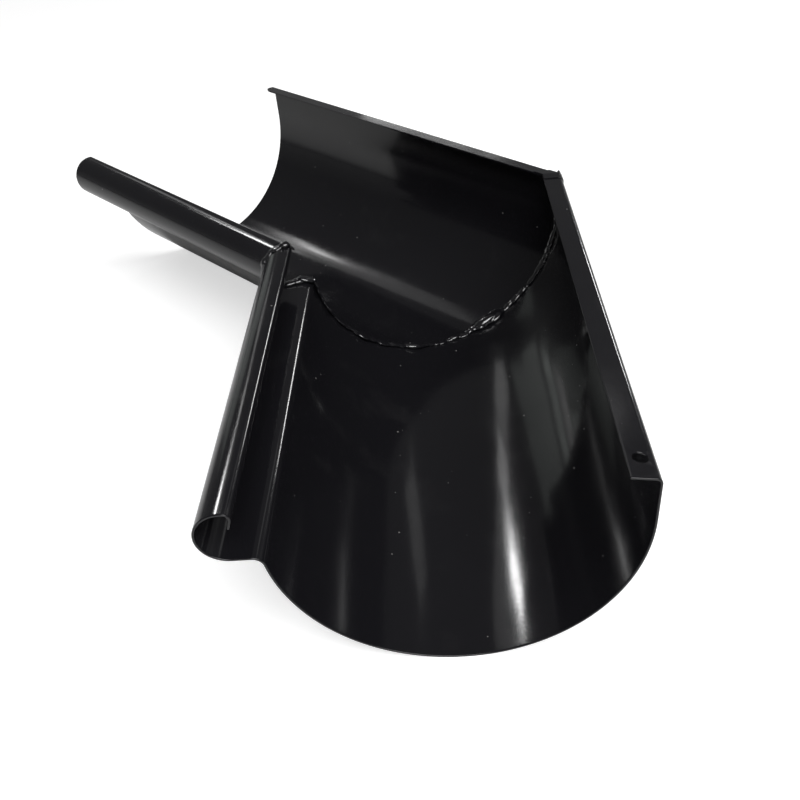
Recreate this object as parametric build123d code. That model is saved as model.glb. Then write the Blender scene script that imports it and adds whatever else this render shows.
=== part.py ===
"""Internal gutter corner: two lengths of half-round gutter, mitred, butted and welded.

Sizes are in millimetres and degrees. The mitre lies in the plane X = 0. The rolled bead is on the
-Y side, inside the angle, and the rim with its folded flange is on the +Y side. The trough opens
upwards and its lowest line lies at Z = 0.
"""
import math
import os

from build123d import *

# Sheet and corner
sheet = 0.7                  # coated steel sheet
corner_angle = 135.0         # between the two lengths, on the bead side
rim_length = 200.0           # each length, measured along its rim
overall_width = 125.0        # outside of the bead to outside of the rim wall

# Trough and rim
rim_height = 15.0            # rim above the centre of the half round
rim_bend = 2.2               # outside radius where the wall folds into the flange
flange_width = 8.8           # flange, inwards from the outside of the wall
flange_rise = 8.0            # the flange climbs inwards by this angle
flange_trim = 7.0            # radius of the left flange at its end, which slides into the next length

# Hanging hole in the right flange
hole_diameter = 4.5
hole_from_end = 8.4
hole_from_wall = 4.7

# Rolled bead
bead_radius = 8.8            # outside radius of the roll
shelf_reach = 7.6            # outside of the trough to the centre of the roll
shelf_drop = 6.2             # underside of the shelf below the centre of the half round
front_bend = 3.0             # underside radius where the wall folds out into the shelf
bead_flat = 0.6              # level run on top of the roll
curl_radius = 2.2            # outside radius of the inturned edge
curl_turn = 108.0            # how far the edge turns down
curl_tip = 3.0               # straight end of the edge

# Lumps of weld: each swells from a waist to its full radius and back
lump_swing = 0.2             # how much the lumps of a run differ, as a share of their radius
lump_waist = 0.65            # waist between two lumps, as a share of their radius
lump_lap = 0.2               # how far a lump runs into the next

# Weld along the trough
trough_lump_radius = 1.9
trough_lump_count = 27
glob_radius = 2.9            # heavy lumps where the run was started
glob_first = 10              # plain lumps between the rim and the heavy ones
glob_count = 3

# Weld over the bead
bead_lump_radius = 1.5
bead_lump_count = 7
bead_weld_start = 0.3        # share of the roll below the run

# Dressed patch over the rim
cap_width = 9.0
cap_thickness = 0.4
cap_skirt = 3.0              # how far the patch reaches down the wall

# Worked out from the sizes above
half_angle = math.radians(corner_angle / 2)
stretch = 1 / math.sin(half_angle)
trough_radius = (overall_width - shelf_reach - bead_radius) / 2
centre_length = rim_length - trough_radius / math.tan(half_angle)
bead_reach = overall_width - trough_radius
bead_across = bead_radius - bead_reach
bead_up = bead_radius - shelf_drop
bead_top = bead_up + bead_radius
rim_corner = (trough_radius, rim_height)
front_corner = (-math.sqrt(trough_radius**2 - shelf_drop**2), -shelf_drop)
back_y = (trough_radius + cap_thickness) * stretch
front_y = -centre_length * math.cos(half_angle) - bead_reach * math.sin(half_angle)
middle = Vector(0, -(back_y + front_y) / 2, trough_radius)

# Section plane of the right length (across, up) and the plane of the mitre (towards the rim, up)
along = Vector(math.sin(half_angle), -math.cos(half_angle), 0)
across = Vector(math.cos(half_angle), math.sin(half_angle), 0)
section_plane = Plane(origin=middle, x_dir=across, z_dir=along)
mitre_plane = Plane(origin=middle, x_dir=(0, 1, 0), z_dir=(1, 0, 0))


def on_circle(centre, radius, angle):
    """A point on a circle, at an angle in degrees."""
    turn = math.radians(angle)
    return (centre[0] + radius * math.cos(turn), centre[1] + radius * math.sin(turn))


def rounded(line, corner, radius):
    """The line with one of its corners rounded."""
    corners = [vertex for vertex in line.vertices() if (Vector(vertex) - Vector(*corner)).length < sheet / 2]
    return line.fillet_2d(radius, corners)


def outside_line():
    """The outside of the sheet: flange, rim, trough, shelf, roll and inturned edge."""
    flange_climb = flange_width * math.tan(math.radians(flange_rise))
    flange_edge = (trough_radius - flange_width, rim_height + flange_climb)
    wall_foot = (trough_radius, 0)
    shelf_end = (bead_across, -shelf_drop)
    roll_top = (bead_across, bead_top)
    curl_start = (bead_across + bead_flat, bead_top)
    curl_centre = (bead_across + bead_flat, bead_top - curl_radius)
    curl_middle = on_circle(curl_centre, curl_radius, 90 - curl_turn / 2)
    curl_end = on_circle(curl_centre, curl_radius, 90 - curl_turn)
    line = Wire([
        Line(flange_edge, rim_corner),
        Line(rim_corner, wall_foot),
        ThreePointArc(wall_foot, (0, -trough_radius), front_corner),
        Line(front_corner, shelf_end),
        ThreePointArc(shelf_end, (-bead_reach, bead_up), roll_top),
        Line(roll_top, curl_start),
        ThreePointArc(curl_start, curl_middle, curl_end),
        Line(curl_end, on_circle(curl_end, curl_tip, -curl_turn)),
    ])
    return rounded(rounded(line, rim_corner, rim_bend), front_corner, front_bend)


def mitred(face):
    """A section of the right length, drawn out from the mitre to the end."""
    overrun = overall_width
    blank = extrude(section_plane * Pos(0, 0, -overrun) * face, amount=centre_length + overrun, dir=along)
    return split(blank, bisect_by=Plane.YZ, keep=Keep.TOP)


def gutter_length():
    """One plain length of gutter, the right one."""
    return mitred(Face(outside_line().offset_2d(sheet, side=Side.LEFT)))


def hanging_hole():
    """A drill through the right flange, square to it."""
    rim = section_plane * Pos(*rim_corner, centre_length - hole_from_end) * Rot(0, 0, -flange_rise)
    return rim * Pos(-hole_from_wall, 0, 0) * Rot(90, 0, 0) * Cylinder(hole_diameter / 2, flange_width)


def flange_corner():
    """The waste outside the rounded corner at the end of the left flange."""
    square = Rectangle(flange_trim, flange_trim, align=(Align.MIN, Align.MAX))
    waste = square - Pos(flange_trim, -flange_trim) * Circle(flange_trim)
    end_plane = Plane(origin=middle + along * centre_length, x_dir=across, z_dir=(0, 0, -1))
    flange_edge = end_plane * Pos(trough_radius - flange_width, 0)
    cut = extrude(flange_edge * waste, amount=rim_height + flange_width, dir=(0, 0, 1))
    return mirror(cut, about=Plane.YZ)


def lump_radii(radius, count):
    """The uneven radii of a run of lumps."""
    return [radius * (1 + lump_swing * math.sin(number**2)) for number in range(count)]


def lumpy_run(edges, radii):
    """A run of weld along some edges of the section, where they cross the mitre."""
    line = Wire(edges)
    pitch = line.length / len(radii)
    halves = []
    for number, radius in enumerate(radii):
        place = (number + 0.5) * pitch
        here = line.position_at(place, PositionMode.LENGTH)
        ahead = here + line.tangent_at(place, PositionMode.LENGTH) * pitch / 2
        centre = mitre_plane.from_local_coords(Vector(here.X * stretch, here.Y))
        reach = mitre_plane.from_local_coords(Vector(ahead.X * stretch, ahead.Y)) - centre
        seam = reach.cross(mitre_plane.z_dir)
        half = Cone(
            radius,
            radius * lump_waist,
            reach.length + lump_lap,
            align=(Align.CENTER, Align.CENTER, Align.MIN),
        )
        halves += [Plane(origin=centre, x_dir=seam, z_dir=way) * half for way in (reach, -reach)]
    return Part() + halves


def trough_weld():
    """The run inside the trough, from the rim to the bead, with its heavy start."""
    inside = outside_line().offset_2d(sheet, side=Side.LEFT, closed=False)
    flange, rim, wall, trough, bend, shelf, *bead = inside.edges()
    radii = lump_radii(trough_lump_radius, trough_lump_count)
    radii[glob_first:glob_first + glob_count] = lump_radii(glob_radius, glob_count)

    shelf_end = shelf @ 1
    wall_top = wall @ 0
    lid_corner = (shelf_end.X, wall_top.Y)
    lid = [Line(shelf_end, lid_corner), Line(lid_corner, wall_top)]
    hollow = mitred(make_face(Wire([wall, trough, bend, shelf, *lid])))
    return lumpy_run([wall, trough, bend, shelf], radii) & (hollow + mirror(hollow, about=Plane.YZ))


def bead_weld(both_lengths):
    """The run over the top of the roll, as far as its inturned edge."""
    *trough, roll, flat, curl, tip = outside_line().edges()
    run = lumpy_run([roll.trim(bead_weld_start, 1), flat, curl], lump_radii(bead_lump_radius, bead_lump_count))
    inner_part, outer_part = (run - both_lengths).solids().sort_by(SortBy.VOLUME)
    return outer_part


def rim_weld():
    """The dressed patch that covers the mitre of the flange and the rim."""
    flange, rim, wall, *trough = outside_line().edges()
    skin = Wire([flange, rim, wall.trim(0, cap_skirt / wall.length)])
    patch = mitred(Face(skin.offset_2d(cap_thickness, side=Side.LEFT)))
    patch = split(patch, bisect_by=Plane.YZ.offset(cap_width / 2), keep=Keep.BOTTOM)
    return patch + mirror(patch, about=Plane.YZ)


right_length = gutter_length()
left_length = mirror(right_length, about=Plane.YZ)

nodes = {
    "right_length": right_length - hanging_hole(),
    "left_length": left_length - flange_corner(),
    "trough_weld": trough_weld(),
    "bead_weld": bead_weld(right_length + left_length),
    "rim_weld": rim_weld(),
}

os.makedirs("parts", exist_ok=True)
for name, solid in nodes.items():
    export_step(solid, f"parts/{name}.step")
    print(f"{name}: {solid.volume:.1f} cubic mm")
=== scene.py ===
# %% [markdown]
# # Internal gutter corner
#
# The real thing is a roofing part: two lengths of half-round steel gutter, cut at a mitre, butted and
# welded, then coated gloss black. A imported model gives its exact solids. This lesson folds the same sheet
# again as a finer mesh with soft edges, lays a lumpy weld on it and paints it. All sizes are in metres.

# %% Load the fixed frame
import math
import random

import bmesh
import bpy
from mathutils import Matrix, Vector


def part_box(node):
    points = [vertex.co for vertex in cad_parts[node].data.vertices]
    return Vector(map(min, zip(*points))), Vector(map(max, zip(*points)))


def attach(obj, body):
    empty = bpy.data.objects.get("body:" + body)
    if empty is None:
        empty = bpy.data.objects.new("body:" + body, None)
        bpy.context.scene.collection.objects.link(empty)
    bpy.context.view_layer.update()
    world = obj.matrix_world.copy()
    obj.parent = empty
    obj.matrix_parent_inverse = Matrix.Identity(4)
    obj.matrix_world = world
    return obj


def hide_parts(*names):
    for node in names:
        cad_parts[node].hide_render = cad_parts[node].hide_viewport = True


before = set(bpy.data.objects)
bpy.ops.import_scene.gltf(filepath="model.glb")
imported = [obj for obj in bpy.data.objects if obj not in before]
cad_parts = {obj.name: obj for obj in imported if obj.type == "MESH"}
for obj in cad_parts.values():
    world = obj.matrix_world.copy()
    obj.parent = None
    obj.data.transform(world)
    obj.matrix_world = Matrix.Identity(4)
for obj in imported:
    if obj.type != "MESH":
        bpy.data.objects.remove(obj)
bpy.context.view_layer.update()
print("nodes:", sorted(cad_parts))

# %% [markdown]
# ## Where the two lengths lie
#
# Both lengths meet in the plane X = 0, the mitre. Each has its own axes: along it, across it towards the
# rim, and up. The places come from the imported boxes, so the new meshes land on the solids with no fitting.
# Only what a box can't tell, such as the sheet and its bends, is written down as a size.

# %% Axes of the right length
MM = 0.001
corner_angle = math.radians(135)
half_angle = corner_angle / 2
trough_radius = 54.3 * MM

right_low, right_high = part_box("right_length")
stretch = 1 / math.sin(half_angle)
middle = Vector((0, right_high.y - trough_radius * stretch, right_low.z + trough_radius))
end_place = (right_high.x - trough_radius * math.cos(half_angle)) * stretch

along = Vector((math.sin(half_angle), -math.cos(half_angle), 0))
across = Vector((math.cos(half_angle), math.sin(half_angle), 0))
right_axes = Matrix((along, across, (0, 0, 1))).transposed().to_4x4()
right_axes.translation = middle
print(f"length along the trough's centre: {end_place / MM:.1f} mm")

# %% [markdown]
# ## The folding plan
#
# A gutter is one strip of sheet that a machine bends as it passes. So the section is written as the machine
# would do it: straight runs and bends, from the rear flange round the trough to the curled edge of the bead.
# A bend to the right turns into the trough. An outline drawn point by point would give the same shape, but
# nobody could read a bend radius out of it.

# %% Sizes of the section
rim_height = 15.0 * MM
rim_bend = 2.2 * MM
flange_width = 8.8 * MM
flange_rise = math.radians(8)
bead_radius = 8.8 * MM
shelf_reach = 7.6 * MM
shelf_drop = 6.2 * MM
front_bend = 3.0 * MM
bead_flat = 0.6 * MM
curl_radius = 2.2 * MM
curl_turn = math.radians(108)
curl_tip = 3.0 * MM
section_width = 2 * trough_radius + shelf_reach + bead_radius
print(f"section: {section_width / MM:.1f} mm wide, with a bead of {2 * bead_radius / MM:.1f} mm")

# %% Runs and bends in their order
rim_turn = math.pi / 2 - flange_rise
rim_tangent = rim_bend * math.tan(rim_turn / 2)
front_lean = math.asin((shelf_drop + front_bend) / (trough_radius + front_bend))
shelf_start = (trough_radius + front_bend) * math.cos(front_lean)

folds = [
    ("flange", "run", flange_width / math.cos(flange_rise) - rim_tangent, 0),
    ("rim", "bend", rim_bend, -rim_turn),
    ("wall", "run", rim_height - rim_tangent, 0),
    ("trough", "bend", trough_radius, front_lean - math.pi),
    ("front", "bend", front_bend, math.pi / 2 - front_lean),
    ("shelf", "run", trough_radius + shelf_reach - shelf_start, 0),
    ("roll", "bend", bead_radius, -math.pi),
    ("flat", "run", bead_flat, 0),
    ("curl", "bend", curl_radius, -curl_turn),
    ("tip", "run", curl_tip, 0),
]
flange_edge = Vector((trough_radius - flange_width, rim_height + flange_width * math.tan(flange_rise)))
print("folds:", [name for name, *rest in folds])

# %% [markdown]
# ## Folding
#
# Each straight run of the plan extrudes what it is given, and each bend spins it. An edge as long as the
# sheet is thick, started at the lip of the flange, leaves a strip of quads: the section with its true
# thickness. A single vertex leaves a bare line. A spin of no angle is a plain extrusion, so one operator
# does both. The narrow strips at both lips keep the soft edges that come later from bending the shading.

# %% Fold an edge or a vertex along the plan
bend_step = math.radians(2.5)
bend_steps_least = 8
edge_strip = 0.6 * MM


def facing(angle):
    """A direction in the section, along its across and up axes."""
    return Vector((0, math.cos(angle), math.sin(angle)))


def fold(bm, start):
    """Folds the start along the whole plan and returns the vertices it passed through, by fold."""
    at = Vector((0, *flange_edge))
    heading = -flange_rise
    edge = start
    passed = {}

    def keep(name, made):
        passed.setdefault(name, []).append([item for item in made if isinstance(item, bmesh.types.BMVert)])

    for name, kind, size, turn in folds:
        keep(name, edge)
        if kind == "run":
            splits = [size]
            if name == "flange":
                splits = [edge_strip, size - edge_strip]
            if name == "tip":
                splits = [size - edge_strip, edge_strip]
            for split in splits:
                step = dict(dvec=facing(heading) * split, angle=0, steps=1)
                edge = bmesh.ops.spin(bm, geom=edge, axis=(1, 0, 0), cent=at, **step)["geom_last"]
                at = at + facing(heading) * split
                keep(name, edge)
            continue
        side = math.copysign(math.pi / 2, turn)
        centre = at + facing(heading + side) * size
        steps = max(bend_steps_least, math.ceil(abs(turn) / bend_step))
        for number in range(steps):
            step = dict(angle=turn / steps, steps=1)
            edge = bmesh.ops.spin(bm, geom=edge, axis=(1, 0, 0), cent=centre, **step)["geom_last"]
            keep(name, edge)
        heading += turn
        at = centre + facing(heading - side) * size
    return passed


trial = bmesh.new()
fold(trial, [trial.verts.new((0, *flange_edge))])
flat_width = sum(edge.calc_length() for edge in trial.edges)
trial.free()
print(f"outside of the sheet, laid flat: {flat_width / MM:.1f} mm")

# %% [markdown]
# ## A line for each weld
#
# The welds run where the section meets the mitre. That line is a folded vertex again, started at the inner
# or the outer lip. The mitre cuts the section at a slant, so the line is stretched across. Cutting the
# finished mesh with a plane would give the line too, but in loose pieces that have to be put in order.

# %% Lay the section's line on the mitre
sheet = 0.7 * MM
touching = 1e-7


def seam_line(inside, *names):
    """The points of some folds on the plane of the mitre, from the sheet's outside or inside."""
    bm = bmesh.new()
    depth = sheet if inside else 0
    lip = Vector((0, *flange_edge)) + facing(-flange_rise - math.pi / 2) * depth
    passed = fold(bm, [bm.verts.new(lip)])
    points = []
    for name in names:
        for (vertex,) in passed[name]:
            point = middle + Vector((0, vertex.co.y * stretch, vertex.co.z))
            if not points or (point - points[-1]).length > touching:
                points.append(point)
    bm.free()
    return points


trough_seam = seam_line(True, "wall", "trough", "front", "shelf")
bead_seam = seam_line(False, "roll", "flat", "curl")
print(f"seams: {len(trough_seam)} points in the trough, {len(bead_seam)} over the bead")

# %% [markdown]
# ## One length of gutter
#
# Extruding the strip gives the length. It is drawn out in a few stretches, with a narrow one at the cut end,
# so that the soft edge there doesn't bend the shading of the long faces. At the far end the cap is not cut
# by a plane: a shear slides every point along the length until it lies on the mitre, which keeps clean quads.

# %% Draw out the strip and shear its far end onto the mitre
hole_from_end = 8.4 * MM
hole_field = 8.0 * MM
plain_stretch = 22 * MM
before_hole = hole_from_end - hole_field / 2 - edge_strip
stretches = [edge_strip, before_hole, hole_field, plain_stretch, plain_stretch]


def length_mesh():
    """A closed bmesh of the plain right length, in its own axes."""
    bm = bmesh.new()
    lip = Vector((0, *flange_edge))
    inner_lip = lip + facing(-flange_rise - math.pi / 2) * sheet
    start = bm.edges.new([bm.verts.new(lip), bm.verts.new(inner_lip)])
    fold(bm, [*start.verts, start])
    bmesh.ops.remove_doubles(bm, verts=bm.verts, dist=touching)
    bmesh.ops.translate(bm, verts=bm.verts, vec=(end_place, 0, 0))
    cap = [*bm.verts, *bm.edges, *bm.faces]
    for stretch_length in [*stretches, 0]:
        cap = bmesh.ops.extrude_face_region(bm, geom=cap)["geom"]
        cap_vertices = [item for item in cap if isinstance(item, bmesh.types.BMVert)]
        bmesh.ops.translate(bm, verts=cap_vertices, vec=(-stretch_length, 0, 0))
    mitre = Matrix.Identity(4)
    mitre[0][0] = 0
    mitre[0][1] = -1 / math.tan(half_angle)
    bmesh.ops.transform(bm, matrix=mitre, verts=cap_vertices)
    bmesh.ops.recalc_face_normals(bm, faces=bm.faces)
    return bm


plain = length_mesh()
open_edges = [edge for edge in plain.edges if not edge.is_manifold]
print(f"plain length: {len(plain.faces)} faces, {len(open_edges)} open edges")
print(f"volume: {plain.calc_volume() / MM**3:.0f} cubic mm")

# %% [markdown]
# ## A drill for the hanging hole
#
# The right flange has a small hole near its end, by which the part hung while it was coated. A cone with
# equal ends is the drill. It stands square to the sloping flange, and a Boolean takes its space out later:
# one step, where cutting the faces of the flange by hand would take many.

# %% Make the drill
hole_diameter = 4.5 * MM
hole_from_wall = 4.7 * MM
hole_sides = 32
cutter_reach = 12 * MM


def object_from(bm, name):
    """Turns a bmesh into an object in the scene."""
    mesh = bpy.data.meshes.new(name)
    bm.to_mesh(mesh)
    bm.free()
    piece = bpy.data.objects.new(name, mesh)
    bpy.context.scene.collection.objects.link(piece)
    return piece


def hole_cutter():
    """A round drill square to the right flange."""
    bm = bmesh.new()
    lie = Matrix.Translation((end_place - hole_from_end, trough_radius, rim_height))
    lie = lie @ Matrix.Rotation(-flange_rise, 4, "X") @ Matrix.Translation((0, -hole_from_wall, 0))
    radius = hole_diameter / 2
    bmesh.ops.create_cone(
        bm, cap_ends=True, segments=hole_sides, radius1=radius, radius2=radius, depth=cutter_reach, matrix=lie
    )
    return object_from(bm, "drill")


drill = hole_cutter()
print(f"drill: {hole_diameter / MM:.1f} mm, {len(drill.data.polygons)} faces")

# %% [markdown]
# ## A trimmer for the flange's corner
#
# The left flange has its end corner rounded off, so that it slips into the next gutter. The trimmer is the
# waste: a square corner with a quarter circle taken away, raised into a block. It is drawn on the right
# length, like everything so far, because the left one is its mirror image.

# %% Make the trimmer
flange_trim = 7.0 * MM
trim_steps = 12


def trim_cutter():
    """The waste outside the rounded corner of the left flange."""
    bm = bmesh.new()
    low = rim_height - cutter_reach / 2
    edge = trough_radius - flange_width
    overrun = Vector((edge_strip, -edge_strip, 0))
    corner = Vector((end_place, edge, low)) + overrun
    centre = Vector((end_place - flange_trim, edge + flange_trim, low))
    first = bm.verts.new(centre + Vector((0, -flange_trim, 0)))
    quarter = bmesh.ops.spin(
        bm, geom=[first], axis=(0, 0, 1), cent=centre, angle=math.pi / 2, steps=trim_steps
    )
    last = quarter["geom_last"][0]
    outside = [bm.verts.new((last.co.x + overrun.x, last.co.y, low)), bm.verts.new(corner)]
    outside.append(bm.verts.new((first.co.x, first.co.y + overrun.y, low)))
    for start, end in zip([last, *outside], [*outside, first]):
        bm.edges.new((start, end))
    face = bmesh.ops.contextual_create(bm, geom=bm.edges[:])["faces"]
    raised = bmesh.ops.extrude_face_region(bm, geom=face)["geom"]
    raised = [item for item in raised if isinstance(item, bmesh.types.BMVert)]
    bmesh.ops.translate(bm, verts=raised, vec=(0, 0, cutter_reach))
    bmesh.ops.recalc_face_normals(bm, faces=bm.faces)
    return object_from(bm, "trimmer")


trimmer = trim_cutter()
print(f"trimmer: radius {flange_trim / MM:.1f} mm, {len(trimmer.data.polygons)} faces")

# %% [markdown]
# ## Cutting
#
# A Boolean modifier subtracts a cutter from a blank length. The exact solver is used, because the sheet is
# thin and both cutters leave it through several faces at once. The result is read back into a bmesh, and the
# blank and the cutter are thrown away.

# %% Cut both lengths


def cut(blank, cutter):
    """The blank with the cutter's space taken out, as a new bmesh. Both objects are used up."""
    boolean = blank.modifiers.new("cut", "BOOLEAN")
    boolean.operation = "DIFFERENCE"
    boolean.solver = "EXACT"
    boolean.object = cutter
    depsgraph = bpy.context.evaluated_depsgraph_get()
    bm = bmesh.new()
    bm.from_object(blank, depsgraph)
    for used in (blank, cutter):
        bpy.data.objects.remove(used)
    return bm


right_cut = cut(object_from(plain, "blank"), drill)
left_cut = cut(object_from(length_mesh(), "blank"), trimmer)
print(f"cut lengths: {len(right_cut.faces)} and {len(left_cut.faces)} faces")

# %% [markdown]
# ## Soft edges
#
# A coat of paint rounds every cut edge of the sheet, and those edges are what catches the light. A bevel on
# all sharp edges does this, apart from the mitre, where the two lengths butt and the weld covers the joint.
# The mitre's edges are marked sharp instead, so that its hidden cap leaves the shading alone. The left
# length is a mirror image, so its faces are turned round again.

# %% Bevel the sheet's edges and stand both lengths in place
edge_round = 0.2 * MM
sharp_turn = math.radians(40)


def finish_length(bm, name, mirrored):
    """Rounds the cut edges and stands the length in the part's frame."""
    bmesh.ops.remove_doubles(bm, verts=bm.verts, dist=touching)
    bmesh.ops.transform(bm, matrix=right_axes, verts=bm.verts)
    sharp = [edge for edge in bm.edges if edge.is_manifold and edge.calc_face_angle() > sharp_turn]
    on_mitre = [edge for edge in sharp if max(abs(vertex.co.x) for vertex in edge.verts) < edge_round]
    cut_edges = [edge for edge in sharp if edge not in on_mitre]
    for face in bm.faces:
        face.smooth = True
    for edge in on_mitre:
        edge.smooth = False
    bmesh.ops.bevel(
        bm, geom=cut_edges, offset=edge_round, affect="EDGES", segments=2, profile=0.5, material=-1,
        clamp_overlap=True,
    )
    if mirrored:
        bmesh.ops.scale(bm, vec=(-1, 1, 1), verts=bm.verts)
        bmesh.ops.reverse_faces(bm, faces=bm.faces)
    bmesh.ops.triangulate(bm, faces=[face for face in bm.faces if len(face.verts) > 4])
    return object_from(bm, name)


right_sheet = finish_length(right_cut, "right_sheet", False)
left_sheet = finish_length(left_cut, "left_sheet", True)
for piece in (right_sheet, left_sheet):
    print(f"{piece.name}: {len(piece.data.polygons)} faces")

# %% [markdown]
# ## Shading and frame
#
# Smooth shading would let each narrow round pull at the wide faces beside it. Weighted normals let the wide
# faces keep their own shading, and the rounds take up the whole turn. Each length then takes the place of
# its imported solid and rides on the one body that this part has.

# %% Weight the normals and hang both lengths on the frame
for piece, node in ((right_sheet, "right_length"), (left_sheet, "left_length")):
    flat_first = piece.modifiers.new("flat_first", "WEIGHTED_NORMAL")
    flat_first.keep_sharp = True
    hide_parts(node)
    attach(piece, "root")
    print(f"{piece.name} stands for {node}")

# %% [markdown]
# ## Lumps of weld
#
# The weld is the part's one rough feature: a run of lumps laid by hand along the mitre, heavy where it was
# started. Each lump is a ball, pressed flat against the sheet, and a seeded draw makes its sizes and its
# place uneven. A plain sweep along the seam would look like a pipe laid in the corner.

# %% Lay lumps along a line
lump_swing = 0.3
draw = random.Random(7)


def along_line(points, spacing):
    """Evenly spaced places on a line of points, each with the direction of the line."""
    places = []
    left_over = 0
    for start, end in zip(points, points[1:]):
        step = end - start
        while left_over < step.length:
            places.append((start + step * (left_over / step.length), step.normalized()))
            left_over += spacing
        left_over -= step.length
    return places


def lay_lumps(bm, points, spacing, width, height, sunk, side, heavy):
    """Presses uneven balls against the sheet along the points. Heavy gives (share, reach, growth)."""
    places = along_line(points, spacing)
    for number, (place, heading) in enumerate(places):
        share = number / len(places)
        swell = 1
        for heavy_share, heavy_reach, growth in heavy:
            swell += growth * math.exp(-(((share - heavy_share) / heavy_reach) ** 2))
        out = Vector((side, 0, 0)).cross(heading)
        wide, long, tall, slip, drift = [1 + draw.uniform(-lump_swing, lump_swing) for each in range(5)]
        lump_height = height * tall * swell
        lie = Matrix((Vector((1, 0, 0)), heading, out)).transposed().to_4x4()
        lie.translation = place + out * (lump_height - sunk) + heading * spacing * (slip - 1)
        lie.translation.x += width * (drift - 1)
        size = (width * wide * swell, spacing * long * math.sqrt(swell), lump_height, 1)
        bmesh.ops.create_icosphere(bm, subdivisions=3, radius=1, matrix=lie @ Matrix.Diagonal(size))


trough_lumps = bmesh.new()
lay_lumps(
    trough_lumps, trough_seam,
    spacing=3.4 * MM, width=1.6 * MM, height=0.75 * MM, sunk=0.15 * MM, side=-1,
    heavy=[(0.415, 0.04, 1.4), (0.6, 0.02, 0.4), (0.74, 0.02, 0.4), (0.95, 0.03, 0.4)],
)
print(f"lumps in the trough: {len(trough_lumps.faces)} faces")

# %% [markdown]
# ## Melting the lumps
#
# The balls only overlap so far. A voxel remesh wraps them in one closed skin and a few rounds of smoothing
# settle it, much as the metal ran together. Joining the balls with Booleans would leave hard creases.

# %% Melt the run in the trough
voxel = 0.28 * MM
melt_rounds = 3


def melt(bm, name):
    """Joins the lumps into one closed skin."""
    rough = object_from(bm, "lumps")
    remesh = rough.modifiers.new("melt", "REMESH")
    remesh.mode = "VOXEL"
    remesh.voxel_size = voxel
    smooth = rough.modifiers.new("settle", "SMOOTH")
    smooth.iterations = melt_rounds
    mesh = bpy.data.meshes.new_from_object(rough.evaluated_get(bpy.context.evaluated_depsgraph_get()))
    bpy.data.objects.remove(rough)
    mesh.name = name
    mesh.shade_smooth()
    piece = bpy.data.objects.new(name, mesh)
    bpy.context.scene.collection.objects.link(piece)
    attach(piece, "root")
    return piece


trough_run = melt(trough_lumps, "trough_weld_run")
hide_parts("trough_weld")
print(f"{trough_run.name}: {len(trough_run.data.polygons)} faces")

# %% [markdown]
# ## The run over the bead
#
# A shorter run closes the mitre of the rolled bead, from part of the way up the roll to its curled edge. It
# is made in the same way, on the outside of the sheet. The patch over the rim was dressed smooth, so there
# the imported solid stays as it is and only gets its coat.

# %% Lay and melt the run over the bead
bare_points = 20
bead_lumps = bmesh.new()
lay_lumps(
    bead_lumps, bead_seam[bare_points:],
    spacing=2.6 * MM, width=1.4 * MM, height=0.7 * MM, sunk=0.4 * MM, side=1, heavy=[(0.75, 0.12, 0.4)],
)
bead_run = melt(bead_lumps, "bead_weld_run")
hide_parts("bead_weld")
print(f"{bead_run.name}: {len(bead_run.data.polygons)} faces")

# %% [markdown]
# ## The coat
#
# Gloss black over steel looks plain until light crosses it: then a fine orange peel, a slow waviness from
# rolling, specks of dust and dull smears show. A node group makes these once, from object coordinates, and
# both finishes use it with their own amounts. It gives a colour, a roughness and a height only, and each
# material keeps its own shader.

# %% A node group with named sockets


def add_node(tree, kind, **settings):
    """A new node, with its properties and plain sockets set by name."""
    node = tree.nodes.new(kind)
    for name, value in settings.items():
        if name in node.bl_rna.properties:
            setattr(node, name, value)
        else:
            node.inputs[name.replace("_", " ")].default_value = value
    return node


gloss_coat = bpy.data.node_groups.new("gloss_coat", "ShaderNodeTree")
for name in ("Coat", "Dust"):
    gloss_coat.interface.new_socket(name, in_out="INPUT", socket_type="NodeSocketColor")
for name in ("Dust Amount", "Smear Amount", "Gloss", "Peel", "Wave"):
    gloss_coat.interface.new_socket(name, in_out="INPUT", socket_type="NodeSocketFloat")
gloss_coat.interface.new_socket("Color", in_out="OUTPUT", socket_type="NodeSocketColor")
for name in ("Roughness", "Height"):
    gloss_coat.interface.new_socket(name, in_out="OUTPUT", socket_type="NodeSocketFloat")
given = gloss_coat.nodes.new("NodeGroupInput").outputs
wanted = gloss_coat.nodes.new("NodeGroupOutput").inputs
place_on_part = add_node(gloss_coat, "ShaderNodeTexCoord").outputs["Object"]
print("sockets:", [item.name for item in gloss_coat.interface.items_tree])

# %% [markdown]
# ## Dust and smears
#
# Dust lies as single specks. A Voronoi texture scatters cells, the random colour of a cell says whether it
# holds a speck and how large, and the distance from its middle draws the dot. Smears are what a hand leaves:
# the upper part of a slow noise. Noise alone would make clouds of dust, never clean dots.

# %% Masks for specks and smears
speck_scale = 210.0
speck_from = 0.55
speck_largest = 0.075
smear_scale = 34.0


def ranged(tree, value, low, high, out_low, out_high):
    """Maps a value from one range to another, held at both ends."""
    node = add_node(tree, "ShaderNodeMapRange", From_Min=low, From_Max=high, To_Min=out_low, To_Max=out_high)
    tree.links.new(value, node.inputs["Value"])
    return node.outputs["Result"]


def combine(tree, operation, first, second):
    """One Math node on two sockets or numbers."""
    node = add_node(tree, "ShaderNodeMath", operation=operation)
    for socket, value in zip(node.inputs, (first, second)):
        if isinstance(value, (int, float)):
            socket.default_value = value
        else:
            tree.links.new(value, socket)
    return node.outputs[0]


def noise(scale, detail, roughness=0.5):
    """Noise over the part, for the coat."""
    node = add_node(gloss_coat, "ShaderNodeTexNoise", Scale=scale, Detail=detail, Roughness=roughness)
    gloss_coat.links.new(place_on_part, node.inputs["Vector"])
    return node.outputs["Fac"]


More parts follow.
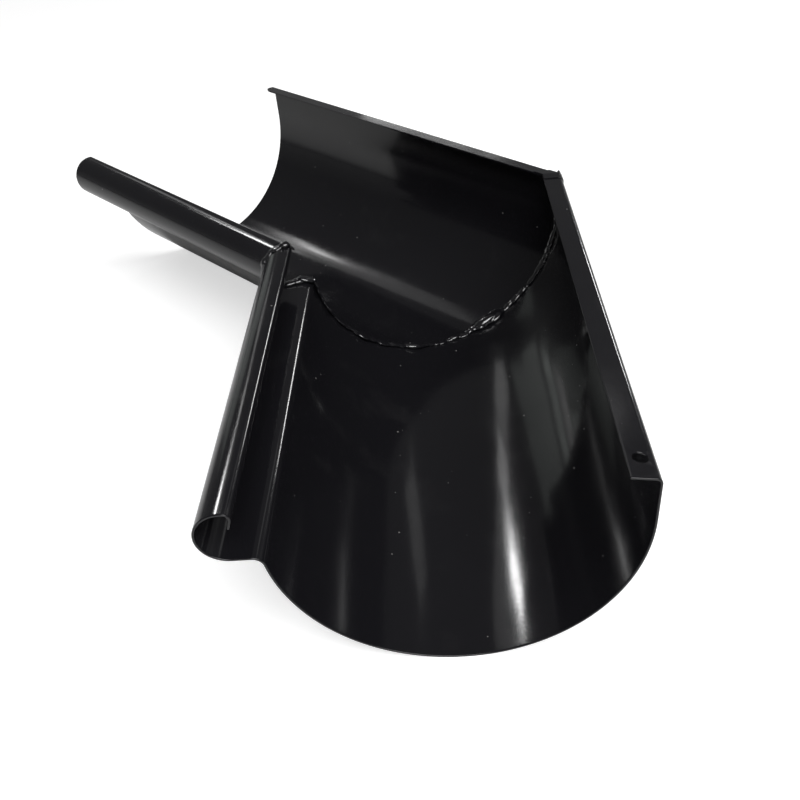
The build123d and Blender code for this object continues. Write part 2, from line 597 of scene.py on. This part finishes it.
specks = add_node(gloss_coat, "ShaderNodeTexVoronoi", Scale=speck_scale)
gloss_coat.links.new(place_on_part, specks.inputs["Vector"])
chance = add_node(gloss_coat, "ShaderNodeSeparateColor")
gloss_coat.links.new(specks.outputs["Color"], chance.inputs["Color"])
speck_size = ranged(gloss_coat, chance.outputs["Red"], speck_from, 1.0, 0.0, speck_largest)
speck = combine(gloss_coat, "LESS_THAN", specks.outputs["Distance"], speck_size)
dusty = combine(gloss_coat, "MULTIPLY", speck, given["Dust Amount"])

smear = ranged(gloss_coat, noise(smear_scale, 5.0, 0.62), 0.58, 0.78, 0.0, 1.0)
smear = combine(gloss_coat, "MULTIPLY", smear, given["Smear Amount"])
print("masks:", len(gloss_coat.nodes), "nodes so far")

# %% [markdown]
# ## Colour, roughness and height
#
# Dust shows in the colour, and dulls the gloss where it lies. A smear hardly shows in the colour, but it
# widens the highlight that crosses it. The height adds two noises: a very fine one for the orange peel and
# a slow one for the sheet's waviness, which is what bends a long straight reflection.

# %% Outputs of the node group
haze_scale = 90.0
smear_cover = 0.02
smear_dull = 0.25
dust_dull = 0.4
peel_scale = 750.0
wave_scale = 16.0

cover = combine(gloss_coat, "ADD", dusty, combine(gloss_coat, "MULTIPLY", smear, smear_cover))
tint = add_node(gloss_coat, "ShaderNodeMix", data_type="RGBA")
gloss_coat.links.new(cover, tint.inputs["Factor"])
gloss_coat.links.new(given["Coat"], tint.inputs["A"])
gloss_coat.links.new(given["Dust"], tint.inputs["B"])
gloss_coat.links.new(tint.outputs["Result"], wanted["Color"])

haze = ranged(gloss_coat, noise(haze_scale, 3.0), 0.35, 0.7, -0.02, 0.03)
rough = combine(gloss_coat, "ADD", given["Gloss"], haze)
rough = combine(gloss_coat, "ADD", rough, combine(gloss_coat, "MULTIPLY", smear, smear_dull))
rough = combine(gloss_coat, "ADD", rough, combine(gloss_coat, "MULTIPLY", dusty, dust_dull))
gloss_coat.links.new(rough, wanted["Roughness"])

peel = combine(gloss_coat, "MULTIPLY", noise(peel_scale, 2.0), given["Peel"])
wave = combine(gloss_coat, "MULTIPLY", noise(wave_scale, 1.0), given["Wave"])
gloss_coat.links.new(combine(gloss_coat, "ADD", peel, wave), wanted["Height"])
print("node group:", gloss_coat.name, len(gloss_coat.nodes), "nodes")

# %% [markdown]
# ## Two finishes
#
# The sheet and the weld carry the same black coat. On the sheet it lies smooth, with a thin clear layer that
# gives the crisp part of each reflection over a softer one. On the weld it lies over rough metal and has run
# thick, so the peel is deeper and the shine stronger. The dressed patch over the rim wears the sheet's coat.
# Base colour, roughness and normal come from the group; everything else is a plain value.

# %% Build the materials and give them to the pieces
black = (0.0075, 0.0073, 0.0088, 1)
dust = (0.38, 0.37, 0.36, 1)
relief = 0.6 * MM


def coat_material(name, amounts, specular, clear):
    """A principled shader over the coat group."""
    material = bpy.data.materials.new(name)
    material.use_nodes = True
    tree = material.node_tree
    shader = tree.nodes["Principled BSDF"]
    group = tree.nodes.new("ShaderNodeGroup")
    group.node_tree = gloss_coat
    group.inputs["Coat"].default_value = black
    group.inputs["Dust"].default_value = dust
    for socket, value in amounts.items():
        group.inputs[socket].default_value = value
    bump = add_node(tree, "ShaderNodeBump", Strength=1.0, Distance=relief)
    tree.links.new(group.outputs["Height"], bump.inputs["Height"])
    tree.links.new(group.outputs["Color"], shader.inputs["Base Color"])
    tree.links.new(group.outputs["Roughness"], shader.inputs["Roughness"])
    tree.links.new(bump.outputs["Normal"], shader.inputs["Normal"])
    shader.inputs["Specular IOR Level"].default_value = specular
    shader.inputs["Coat Weight"].default_value = clear
    shader.inputs["Coat Roughness"].default_value = 0.08
    shader.inputs["Coat IOR"].default_value = 1.5
    return material


sheet_coat = coat_material(
    "black_coat",
    {"Dust Amount": 0.5, "Smear Amount": 0.6, "Gloss": 0.13, "Peel": 0.02, "Wave": 1.0},
    specular=0.38, clear=0.22,
)
weld_coat = coat_material(
    "coated_weld",
    {"Dust Amount": 0.3, "Smear Amount": 0.3, "Gloss": 0.12, "Peel": 0.08, "Wave": 0.3},
    specular=0.8, clear=0.6,
)
for piece in (right_sheet, left_sheet):
    piece.data.materials.append(sheet_coat)
for piece in (trough_run, bead_run):
    piece.data.materials.append(weld_coat)
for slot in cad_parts["rim_weld"].material_slots:
    slot.material = sheet_coat
print("materials:", sheet_coat.name, weld_coat.name)

# %% [markdown]
# ## Floor
#
# The part lies on a white floor that runs out of sight. Its colour alone is a pale grey under plain light.
# Light of its own, only for the rays that look straight at it, lifts it to white, and a soft shadow stays.
# The coat doesn't mirror that extra light, so the undersides keep their dark tone.

# %% A white floor under the part
floor_size = 80.0
floor_grey = (0.72, 0.72, 0.72, 1)
floor_glow = 0.6


def floor_material():
    """Pale grey, with light of its own for rays that look straight at it."""
    paint = bpy.data.materials.new("white_floor")
    paint.use_nodes = True
    tree = paint.node_tree
    tree.nodes.clear()
    grey = add_node(tree, "ShaderNodeBsdfDiffuse", Color=floor_grey)
    lift = add_node(tree, "ShaderNodeEmission")
    looks = tree.nodes.new("ShaderNodeLightPath").outputs
    seen = combine(tree, "MAXIMUM", looks["Is Camera Ray"], looks["Is Transmission Ray"])
    tree.links.new(combine(tree, "MULTIPLY", seen, floor_glow), lift.inputs["Strength"])
    both = tree.nodes.new("ShaderNodeAddShader")
    tree.links.new(grey.outputs[0], both.inputs[0])
    tree.links.new(lift.outputs[0], both.inputs[1])
    output = tree.nodes.new("ShaderNodeOutputMaterial")
    tree.links.new(both.outputs[0], output.inputs["Surface"])
    return paint


floor_mesh = bmesh.new()
bmesh.ops.create_grid(floor_mesh, x_segments=1, y_segments=1, size=floor_size / 2)
floor = object_from(floor_mesh, "floor")
floor.data.materials.append(floor_material())
print("floor:", floor_size, "m wide")

# %% [markdown]
# ## Room
#
# The dark parts of a gloss coat show the room around it, so the room is dim. Looked at straight, it is paler,
# and palest near the horizon, so that the floor runs into it without a hard line. The height of a direction
# is enough to shade it, and no picture of a real room is needed.

# %% A dim room, paler for the camera
horizon_top = 0.26
room_low = 0.18
room_high = 0.09
paler_low = 0.49
paler_high = 0.4

world = bpy.data.worlds.new("dim_room")
bpy.context.scene.world = world
world.use_nodes = True
room = world.node_tree
direction = add_node(room, "ShaderNodeSeparateXYZ")
room.links.new(add_node(room, "ShaderNodeTexCoord").outputs["Generated"], direction.inputs[0])
straight = add_node(room, "ShaderNodeLightPath").outputs["Is Camera Ray"]
paler = ranged(room, direction.outputs["Z"], 0.0, horizon_top, paler_low, paler_high)
paler = combine(room, "MULTIPLY", paler, straight)
dim = ranged(room, direction.outputs["Z"], 0.0, horizon_top, room_low, room_high)
room.links.new(combine(room, "ADD", dim, paler), room.nodes["Background"].inputs["Color"])
print("room:", world.name, len(room.nodes), "nodes")

# %% [markdown]
# ## Light
#
# A gloss black part is lit by what it reflects. A small window lamp stands behind the far length and draws
# the white streaks in both troughs. Its beam is narrow and aimed past the near end, so the far length gets
# less of it. Dim cards around it give the softer bands. The lamps themselves stay hidden from the camera.

# %% The window and the cards around it
past_near_end = Vector((0.37, -0.03, 0))
window_beam = dict(aim=past_near_end, spread=23)
greenish = (0.92, 1.0, 0.95)


def lamp(name, azimuth, elevation, distance, size, power, color=(1, 1, 1), aim=middle, spread=180):
    """An area lamp that stands in a direction from the part, in degrees from +X and from the floor."""
    turn = math.radians(azimuth)
    rise = math.radians(elevation)
    way = Vector((math.cos(turn) * math.cos(rise), math.sin(turn) * math.cos(rise), math.sin(rise)))
    data = bpy.data.lights.new(name, "AREA")
    data.shape = "RECTANGLE"
    data.size, data.size_y = size
    data.energy = power
    data.color = color
    data.spread = math.radians(spread)
    lit = bpy.data.objects.new(name, data)
    lit.location = middle + way * distance
    lit.rotation_euler = (lit.location - aim).to_track_quat("Z", "Y").to_euler()
    lit.visible_camera = False
    bpy.context.scene.collection.objects.link(lit)
    return lit


window_lamps = [
    lamp("window", -166, 39.1, 1.6, (0.14, 0.1), 0.029, **window_beam),
    lamp("window_blind", -167.2, 38.2, 1.62, (0.24, 0.16), 0.009, **window_beam),
    lamp("window_glow", -170, 43, 1.64, (0.3, 0.5), 0.25),
    lamp("window_foot", -174, 32.5, 1.62, (0.12, 0.14), 0.12),
    lamp("window_sill", -175.7, 25.1, 1.62, (0.14, 0.2), 0.07),
    lamp("low_card", -166, 12, 1.8, (0.5, 0.45), 0.19, greenish),
    lamp("low_strip", -163.5, 0.8, 1.62, (0.36, 0.1), 0.05, greenish),
]
print("window:", [item.name for item in window_lamps])

# %% [markdown]
# ## Side lamps and softbox
#
# Lamps at the side draw the thin lines on rim and bead. The softbox lights the floor. It is wide and stands
# above and behind the camera, where no trough seen from the front mirrors it: the same lamp overhead would
# turn half of the coat grey.

# %% Lamps at the side and behind the camera
other_lamps = [
    lamp("side_window", 124, 17, 1.6, (0.36, 0.1), 2.2),
    lamp("side_glow", 131, 40, 1.6, (0.14, 0.34), 0.08),
    lamp("lip_card", 155, 5, 1.6, (0.3, 0.16), 0.3),
    lamp("softbox", 0, 52, 1.7, (1.5, 1.2), 38),
]
print("other lamps:", [item.name for item in other_lamps])

# %% [markdown]
# ## Camera
#
# The camera stands close, about a third of a metre from the near end, and looks down along the right length.
# Its place and lens were found by matching the straight edges and the round ends of the part to their pixels.
# The small shift is there because the picture is a crop whose centre isn't where the lens points.

# %% Stand the camera
image_side = 800
focal_pixels = 877.1
lens_centre = (456.6, 443.1)
camera_place = Vector((318.25, -94.91, 222.68)) * MM
to_right = Vector((0.41951, 0.90685, -0.04033)).normalized()
forward = Vector((-0.71144, 0.30087, -0.63508)).normalized()

camera_data = bpy.data.cameras.new("camera")
camera_data.sensor_width = 36
camera_data.lens = camera_data.sensor_width * focal_pixels / image_side
camera_data.shift_x = 0.5 - lens_centre[0] / image_side
camera_data.shift_y = lens_centre[1] / image_side - 0.5
camera_data.clip_start = 0.01
camera = bpy.data.objects.new("camera", camera_data)
bpy.context.scene.collection.objects.link(camera)
camera.matrix_world = Matrix((to_right, to_right.cross(forward), -forward)).transposed().to_4x4()
camera.location = camera_place
bpy.context.scene.camera = camera
bpy.context.scene.view_settings.view_transform = "Standard"
print(f"lens {camera_data.lens:.1f} mm, shift {camera_data.shift_x:.3f}, {camera_data.shift_y:.3f}")
